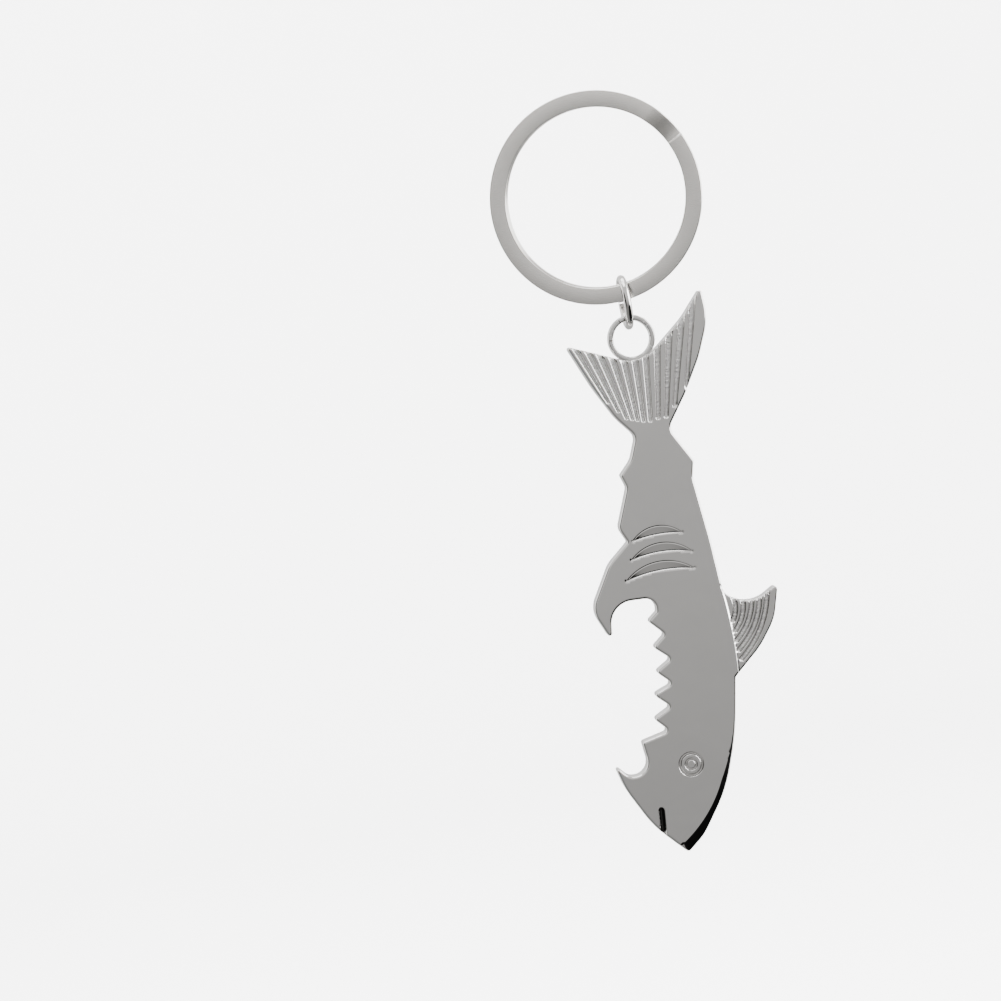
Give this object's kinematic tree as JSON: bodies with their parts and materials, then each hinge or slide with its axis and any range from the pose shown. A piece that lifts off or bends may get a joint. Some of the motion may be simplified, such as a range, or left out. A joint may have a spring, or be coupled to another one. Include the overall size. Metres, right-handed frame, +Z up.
{
  "type": "souvenir bottle opener",
  "caption": "Shark-shaped cap lifter cast as one flat plate, hanging from a flat split key ring by a round wire link.",
  "frame": {"origin": "centre of the split ring's bore", "axes": "+Z up, the opener hangs down -Z; the plate lies in XZ and its engraved face looks along -Y"},
  "size_m": [0.0305, 0.0084, 0.1084],
  "materials": {
    "satin_nickel": "satin nickel plate on flat spring strip, brighter on its edges",
    "bright_nickel": "bright nickel plate on round wire",
    "mirror_chrome": "polished chrome plate on cast zinc, grainy in the grooves"
  },
  "bodies": {
    "key_ring": {"split_key_ring": "satin_nickel"},
    "link": {"jump_ring": "bright_nickel"},
    "opener": {"opener_body": "mirror_chrome"}
  },
  "joints": [
    {"name": "link_slides_round_ring", "type": "hinge", "parent": "key_ring", "child": "link", "pos_m": [0, 0, 0], "axis": [0.225, 0.9744, 0], "continuous": true},
    {"name": "opener_swings_on_link", "type": "hinge", "parent": "link", "child": "opener", "pos_m": [0.00145, -0.00034, -0.01517], "axis": [1, 0, 0], "range_deg": [-115, 115]}
  ]
}
